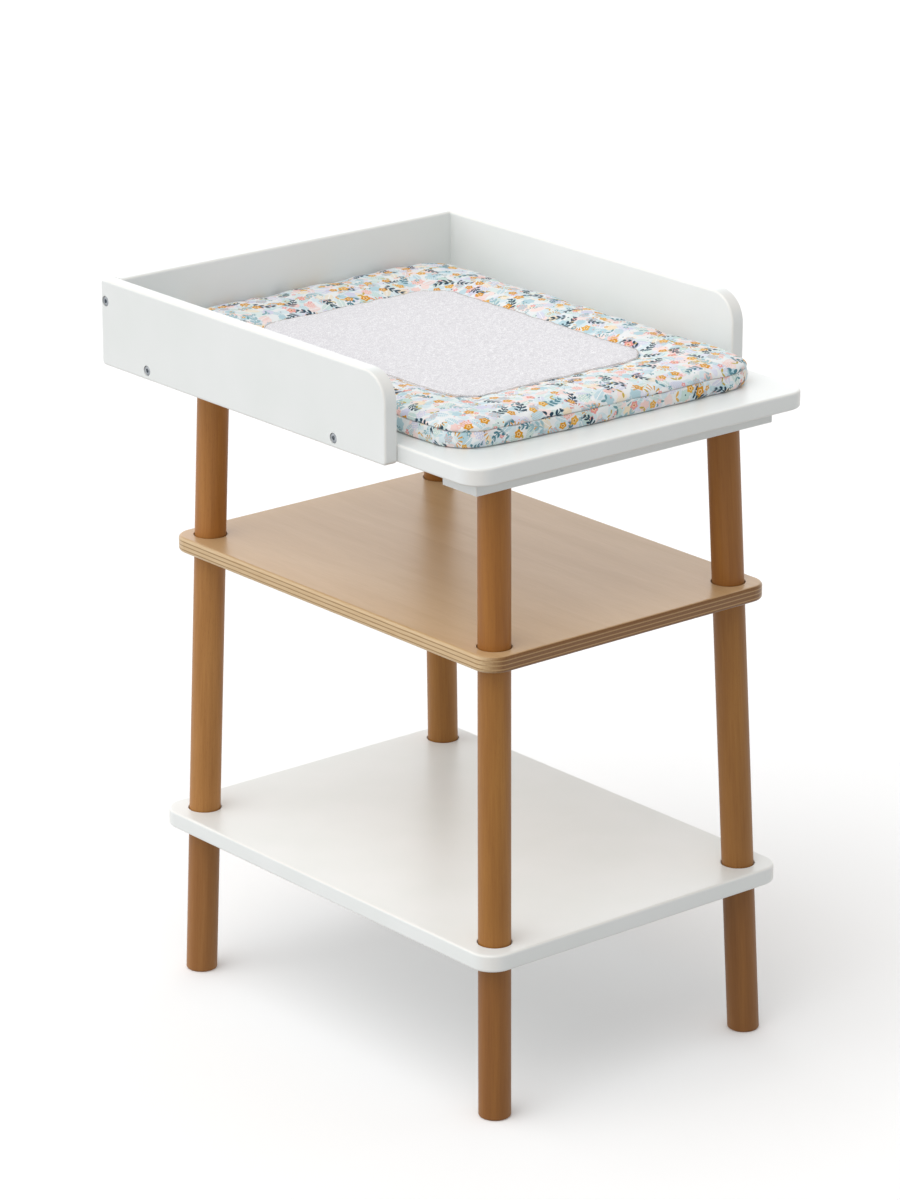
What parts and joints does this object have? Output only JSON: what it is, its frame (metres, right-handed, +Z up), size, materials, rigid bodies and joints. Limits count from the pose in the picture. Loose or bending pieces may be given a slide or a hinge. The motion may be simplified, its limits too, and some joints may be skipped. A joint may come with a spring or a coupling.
{
  "type": "changing table",
  "caption": "Open changing table: guarded top with a padded mat, on splayed round legs carrying a plywood shelf and a lower lacquered shelf.",
  "frame": {"origin": "on the floor, under the middle of the table's width and depth", "axes": "+X to the right along the open front edge, +Y from the open front towards the rear panel, +Z up"},
  "size_m": [0.567, 0.7, 0.92],
  "materials": {
    "white_lacquer": "satin",
    "beech_plywood": "satin",
    "stained_beech": "satin",
    "plain_beech": "matte",
    "zinc_steel": "polished",
    "printed_cotton": "matte",
    "terry_cotton": "matte",
    "foam": "matte"
  },
  "bodies": {
    "table": {"top_board": "white_lacquer", "side_panel_left": "white_lacquer", "side_panel_right": "white_lacquer", "rear_panel": "white_lacquer", "batten_front": "white_lacquer", "batten_rear": "white_lacquer", "shelf_lower": "white_lacquer", "shelf_middle": "beech_plywood", "leg_upper_front_left": "stained_beech", "leg_upper_front_right": "stained_beech", "leg_upper_rear_left": "stained_beech", "leg_upper_rear_right": "stained_beech", "leg_middle_front_left": "stained_beech", "leg_middle_front_right": "stained_beech", "leg_middle_rear_left": "stained_beech", "leg_middle_rear_right": "stained_beech", "leg_foot_front_left": "stained_beech", "leg_foot_front_right": "stained_beech", "leg_foot_rear_left": "stained_beech", "leg_foot_rear_right": "stained_beech", "threaded_inserts_leg_upper": "zinc_steel", "threaded_inserts_leg_middle": "zinc_steel", "threaded_inserts_leg_foot": "zinc_steel", "shelf_studs_middle": "zinc_steel", "shelf_studs_lower": "zinc_steel", "leg_head_bolts": "zinc_steel", "panel_bolts_left": "zinc_steel", "panel_bolts_right": "zinc_steel", "barrel_nuts_top_board": "zinc_steel", "barrel_nuts_rear_panel": "zinc_steel", "batten_screws": "zinc_steel", "rear_panel_dowels": "plain_beech"},
    "mat": {"mat_cover_top": "printed_cotton", "mat_cover_base": "printed_cotton", "mat_towel_panel": "terry_cotton", "mat_foam_core": "foam"}
  },
  "joints": [
    {"name": "mat_lift", "type": "slide", "parent": "table", "child": "mat", "axis": [0, 0, 1], "range_m": [0, 0.15]}
  ]
}
